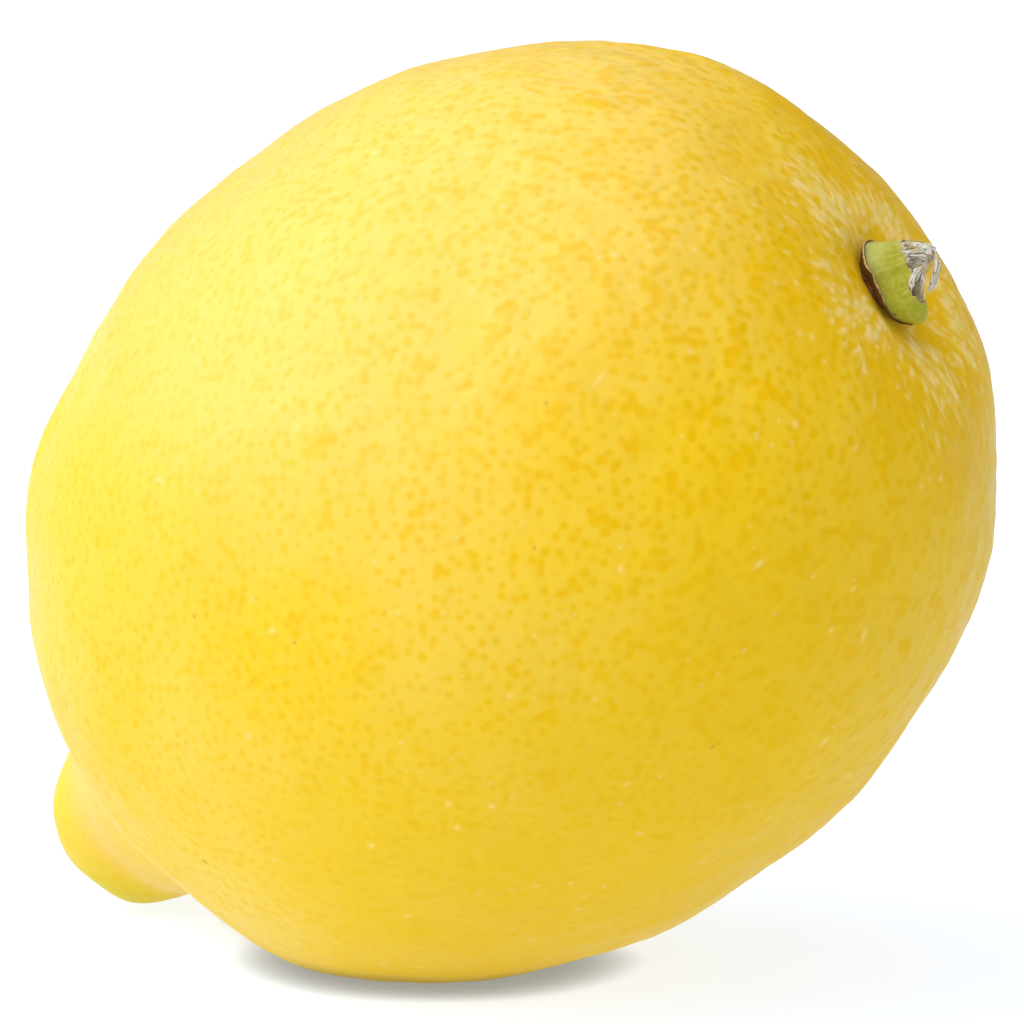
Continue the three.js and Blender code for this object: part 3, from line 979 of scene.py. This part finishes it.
def make_calyx_disc():
    """The dark dry disc that the calyx grew on, seated in the pit of the peel."""
    rng = np.random.default_rng(DISC_SEED)
    turn = np.arange(DISC_STEPS) * 2 * math.pi / DISC_STEPS
    outline = np.c_[np.cos(turn), np.sin(turn), 0 * turn] * DISC_RADII
    profile = [(0.80, -1.0), (1.0, -0.8)] + [(1.0, -0.8 + 0.13 * step) for step in range(1, 9)]
    profile += [(1 - 0.06 * step, 0.30 + 0.03 * step) for step in range(1, 6)]
    rings = [np.array([(0, 0, -1.0)])]
    rings += [outline * scale + (0, 0, height) for scale, height in profile]
    rings.append(np.array([(0, 0, 0.48)]))
    points, faces = closed_skin(rings)
    outward = points / np.maximum(np.linalg.norm(points, axis=1), 1e-6)[:, None]
    roughness = DISC_RISE * random_waves(points, DISC_WAVES, 30, rng)
    roughness += DISC_PORE_RISE * random_waves(points, DISC_PORE_WAVES, 80, rng)
    points += outward * roughness[:, None] + DISC_MIDDLE
    mesh = mesh_of("calyx_disc", points, faces)
    add_piece("calyx_disc", mesh, disc_material(), "stem_button")


def tube(middles, radii, sides):
    """A tube with closed round ends along points, as its rings."""
    middles = np.asarray(middles)
    ways = np.gradient(middles, axis=0)
    ways /= np.linalg.norm(ways, axis=1)[:, None]
    helper = np.array((0.31, 0.87, 0.38))
    first = np.cross(ways, helper)
    first /= np.linalg.norm(first, axis=1)[:, None]
    second = np.cross(ways, first)
    turns = np.arange(sides) * 2 * math.pi / sides
    rings = [middles[:1]]
    for middle, radius, one, two in zip(middles, radii, first, second):
        rings.append(middle + radius * (np.outer(np.cos(turns), one) + np.outer(np.sin(turns), two)))
    rings.append(middles[-1:] + ways[-1] * radii[-1])
    return rings


def joined(parts):
    """Several closed skins as one set of points and faces."""
    points, faces, start = [], [], 0
    for part_points, part_faces in parts:
        points.append(part_points)
        faces += [tuple(start + corner for corner in face) for face in part_faces]
        start += len(part_points)
    return np.concatenate(points), faces


def make_calyx_rim():
    """The thin dry edge that curls along the calyx where a sepal has withered."""
    rng = np.random.default_rng(RIM_SEED)
    steps = np.arange(*RIM_STEPS)
    edge = calyx_edge()[steps]
    wave = random_waves(edge, (0.5, 1.6), 40, rng)
    fine = random_waves(edge, (0.15, 0.4), 40, rng)
    edge[:, :2] *= (1.04 + 0.012 * wave + 0.006 * fine)[:, None]
    edge[:, 2] += 0.02 + 0.04 * wave
    taper = smooth_step(steps, *RIM_START_TAPER) * smooth_step(-steps, *RIM_END_TAPER)
    radii = (0.025 + 0.035 * taper) * (1 + 0.2 * fine)
    points, faces = closed_skin(tube(edge, radii, 8))
    add_piece("calyx_rim", mesh_of("calyx_rim", points, faces), rim_material(), "stem_button")


def make_stump_fibres():
    """The torn grey strands of the stem: two lips along its split, and a matted tuft above them."""
    rng = np.random.default_rng(STRAND_SEED)
    fibres = []
    for corners, count, stray, thickness in STRANDS:
        for _strand in range(count):
            strayed = np.array(corners) + rng.normal(0, stray, 3)
            path = open_curve(strayed + rng.normal(0, 0.4 * stray, (len(corners), 3)), 16)
            first = rng.integers(0, 5)
            path = path[first:first + rng.integers(8, 12)] + rng.normal(0, 0.012, (1, 3))
            path += STRAND_RISE * np.c_[[random_waves(path, STRAND_WAVES, 12, rng) for _k in range(3)]].T
            ends = np.minimum(np.arange(len(path)) + 1, len(path) - np.arange(len(path)))
            radii = rng.uniform(*thickness) * np.minimum(ends / 3, 1)
            fibres.append(closed_skin(tube(path, radii, 6)))
    points, faces = joined(fibres)
    add_piece("stump_fibres", mesh_of("stump_fibres", points, faces), fibre_material(), "stem_button")


# --- the stem button's materials -------------------------------------------------------------

OLIVE_GREEN = (0.35, 0.345, 0.012)
LIT_GREEN = (0.62, 0.65, 0.19)
SPECK_GREEN = (0.14, 0.15, 0.025)
CUT_GREY = (0.56, 0.51, 0.39)
TUFT_SHADE = (0.24, 0.19, 0.10)
CUT_TAN = (0.52, 0.41, 0.18)
# Painted shade in the hollows of the torn end.
HOLLOW_BROWN = (0.05, 0.032, 0.012)
TUFT_GREY = (0.70, 0.66, 0.56)
RIM_TAN = (0.62, 0.38, 0.16)
RIM_BROWN = (0.26, 0.12, 0.035)
# Painted shade at the foot and underside of the calyx.
UNDERSIDE_BROWN = (0.09, 0.04, 0.008)
DISC_BROWN = (0.075, 0.022, 0.005)
DISC_RUST = (0.24, 0.09, 0.012)
LIT_SHARE = 0.18
TAN_SHARE = 0.5


def calyx_material():
    material, nodes, links, shader = make_material("calyx")
    cloudy = remap(nodes, links, noise(nodes, links, 500, 3), 0.35, 0.65)
    fine = remap(nodes, links, noise(nodes, links, 3200, 4, 0.65), 0.36, 0.66)
    specks = remap(nodes, links, noise(nodes, links, 1500, 1), 0.72, 0.82)
    ranged, part, painted = layering(nodes, links)
    skin = painted(OLIVE_GREEN, part(attribute(nodes, "top_light"), ranged(cloudy, 0.7, 1)), LIT_GREEN)
    skin = painted(skin, part(fine, LIT_SHARE), LIT_GREEN)
    skin = painted(skin, specks, SPECK_GREEN)
    skin = painted(skin, attribute(nodes, "dry"), CUT_TAN)
    # Painted shade at the calyx's foot and underside.
    skin = painted(skin, attribute(nodes, "underside"), UNDERSIDE_BROWN)
    cut = painted(CUT_TAN, cloudy, CUT_GREY)
    cut = painted(cut, part(fine, TAN_SHARE), CUT_TAN)
    # Painted shade in the deep hollows of the torn end.
    cut = painted(cut, attribute(nodes, "hollow"), HOLLOW_BROWN)
    links.new(painted(skin, attribute(nodes, "torn"), cut), shader.inputs["Base Color"])
    links.new(ranged(attribute(nodes, "torn"), 0.45, 0.85), shader.inputs["Roughness"])
    shader.inputs["Specular IOR Level"].default_value = 0.15
    shader.inputs["Subsurface Weight"].default_value = 0.1
    shader.inputs["Subsurface Radius"].default_value = (0.7, 0.8, 0.2)
    shader.inputs["Subsurface Scale"].default_value = 0.4 * MM
    roughened(nodes, links, shader, 5000, 0.03 * MM, 0.5)
    return material


def disc_material():
    material, nodes, links, shader = make_material("calyx_disc")
    rust = remap(nodes, links, noise(nodes, links, 2600, 4, 0.7), 0.50, 0.68)
    links.new(blend_colours(nodes, links, rust, DISC_BROWN, DISC_RUST), shader.inputs["Base Color"])
    links.new(remap(nodes, links, rust, 0, 1, 0.55, 0.75), shader.inputs["Roughness"])
    roughened(nodes, links, shader, 4000, 0.05 * MM, 0.8)
    return material


def rim_material():
    material, nodes, links, shader = make_material("calyx_rim")
    patchy = remap(nodes, links, noise(nodes, links, 1600, 3, 0.6), 0.46, 0.70)
    links.new(blend_colours(nodes, links, patchy, RIM_TAN, RIM_BROWN), shader.inputs["Base Color"])
    links.new(remap(nodes, links, patchy, 0, 1, 0.6, 0.75), shader.inputs["Roughness"])
    roughened(nodes, links, shader, 6000, 0.03 * MM, 0.6)
    return material


def fibre_material():
    material, nodes, links, shader = make_material("stump_fibres")
    patchy = remap(nodes, links, noise(nodes, links, 900, 3, 0.6), 0.45, 0.68)
    dark = remap(nodes, links, noise(nodes, links, 2500, 3, 0.6), 0.56, 0.74)
    colour = blend_colours(nodes, links, patchy, TUFT_GREY, CUT_TAN)
    links.new(blend_colours(nodes, links, dark, colour, TUFT_SHADE), shader.inputs["Base Color"])
    links.new(remap(nodes, links, patchy, 0, 1, 0.7, 0.85), shader.inputs["Roughness"])
    shader.inputs["Subsurface Weight"].default_value = 0.2
    shader.inputs["Subsurface Scale"].default_value = 0.1 * MM
    roughened(nodes, links, shader, 9000, 0.02 * MM, 0.6)
    return material


bpy.context.scene.view_settings.view_transform = "Standard"
make_camera()
make_floor()
make_sky()
make_peel()
make_calyx_disc()
make_calyx()
make_calyx_rim()
make_stump_fibres()
